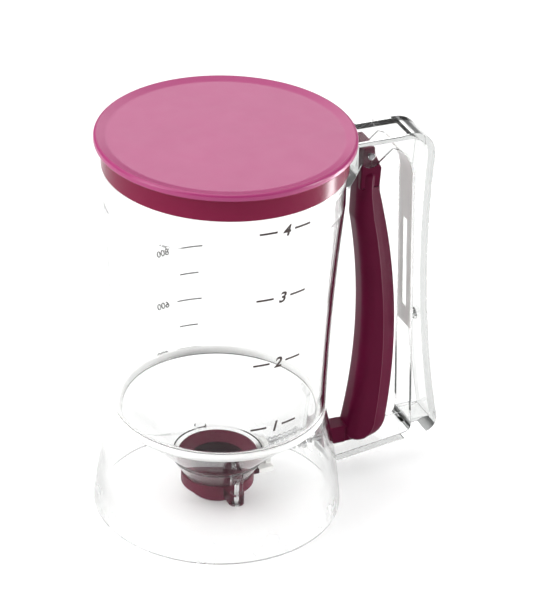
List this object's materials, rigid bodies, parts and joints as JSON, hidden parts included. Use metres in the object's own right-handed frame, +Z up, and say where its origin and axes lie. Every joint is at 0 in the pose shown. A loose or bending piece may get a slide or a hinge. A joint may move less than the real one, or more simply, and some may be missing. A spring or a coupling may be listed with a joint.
{
  "type": "pancake batter dispenser",
  "caption": "Clear handled jug with a push-on lid, a funnel floor and a squeeze trigger that slides a gate open under the funnel.",
  "frame": {"origin": "centre of the foot ring's resting face, on the jug's axis", "axes": "+X towards the handle, +Y to the jug's left seen from the handle side, +Z up along the jug's axis"},
  "size_m": [0.1575, 0.11, 0.18],
  "materials": {
    "lid_plastic": "satin moulded top, glossy band",
    "trigger_plastic": "gloss",
    "valve_plastic": "satin",
    "clear_plastic": "polished clear",
    "frosted_plastic": "slightly hazed clear",
    "liner_plastic": "fine satin",
    "steel": "bright drawn"
  },
  "bodies": {
    "jug": {"container": "clear_plastic", "base_skirt": "frosted_plastic", "handle": "clear_plastic", "grip_liner": "liner_plastic", "liner_screw": "steel", "trigger_pin": "steel", "valve_seat": "valve_plastic", "gate_guide": "clear_plastic", "nozzle": "valve_plastic", "guide_screws": "steel", "rod_washer": "steel", "return_spring": "steel"},
    "lid": {"lid": "lid_plastic"},
    "trigger": {"trigger": "trigger_plastic"},
    "valve_slide": {"gate": "trigger_plastic", "pull_rod": "steel"}
  },
  "joints": [
    {"name": "lid_lift", "type": "slide", "parent": "jug", "child": "lid", "axis": [0, 0, 1], "range_m": [0, 0.03]},
    {"name": "trigger_swing", "type": "hinge", "parent": "jug", "child": "trigger", "pos_m": [0.0635, 0, 0.1616], "axis": [0, -1, 0], "range_deg": [0, 3.7], "stiffness_Nm_per_rad": 1.2, "springref_deg": -3.44},
    {"name": "gate_slide", "type": "slide", "parent": "jug", "child": "valve_slide", "axis": [1, 0, 0], "range_m": [0, 0.0093], "deforming": ["return_spring"]}
  ],
  "couplings": [
    {"joint": "gate_slide", "follows": "trigger_swing", "m_per_rad": 0.1411}
  ]
}
